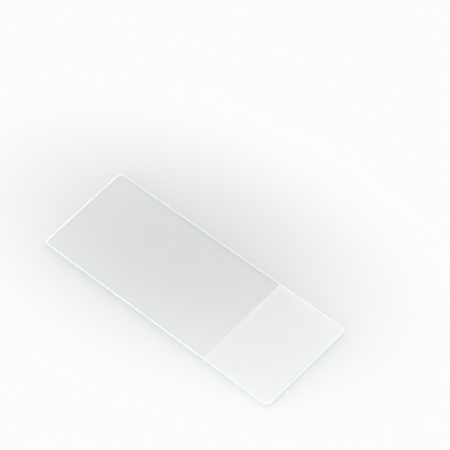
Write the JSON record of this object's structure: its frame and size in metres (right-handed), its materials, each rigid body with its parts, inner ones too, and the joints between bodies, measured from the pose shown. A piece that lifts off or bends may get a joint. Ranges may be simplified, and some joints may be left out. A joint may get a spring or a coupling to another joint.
{
  "type": "microscope slide",
  "caption": "Thin rectangular strip of clear glass with ground edges, small cut corners and a frosted end for writing on, used to carry a specimen under a microscope.",
  "frame": {"origin": "on the underside, under the centre of the strip's outline", "axes": "+X along the strip towards the frosted end, +Y across the strip, +Z out of the upper face that carries the specimen"},
  "size_m": [0.076, 0.026, 0.0011],
  "materials": {
    "clear_glass": "clear polished faces with finely ground edges and a matt frosted field over one end of the upper face"
  },
  "bodies": {
    "root": {"glass_slide": "clear_glass"}
  },
  "joints": []
}
